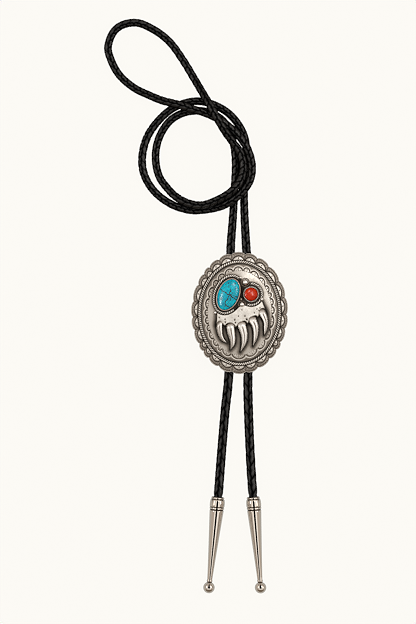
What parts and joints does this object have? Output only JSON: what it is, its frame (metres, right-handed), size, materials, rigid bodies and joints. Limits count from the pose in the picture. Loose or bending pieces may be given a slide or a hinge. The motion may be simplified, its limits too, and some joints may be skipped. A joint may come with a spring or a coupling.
{
  "type": "bolo tie",
  "caption": "Bolo tie: scalloped silver concho slide with a clawed paw, turquoise and coral, on a looped black braided leather cord with metal tips.",
  "frame": {"origin": "on the surface under the middle of the slide, the middle of the clip's flat underside", "axes": "+Y runs from the tips up the cord to the loop, +Z points off the surface, +X to the right as the slide is seen"},
  "size_m": [0.095, 0.2992, 0.015],
  "materials": {
    "antique_silver": "polished silver with dark oxidised recesses",
    "nickel_silver": "polished warm nickel silver",
    "clip_steel": "plain satin steel",
    "black_leather": "black round braided leather",
    "turquoise": "polished cabochon with a dark brown matrix",
    "coral": "polished orange-red cabochon"
  },
  "bodies": {
    "root": {"concho": "antique_silver", "turquoise": "turquoise", "coral": "coral", "slide_clip": "clip_steel", "cord": "black_leather", "tip_left": "nickel_silver", "tip_right": "nickel_silver"}
  },
  "joints": []
}
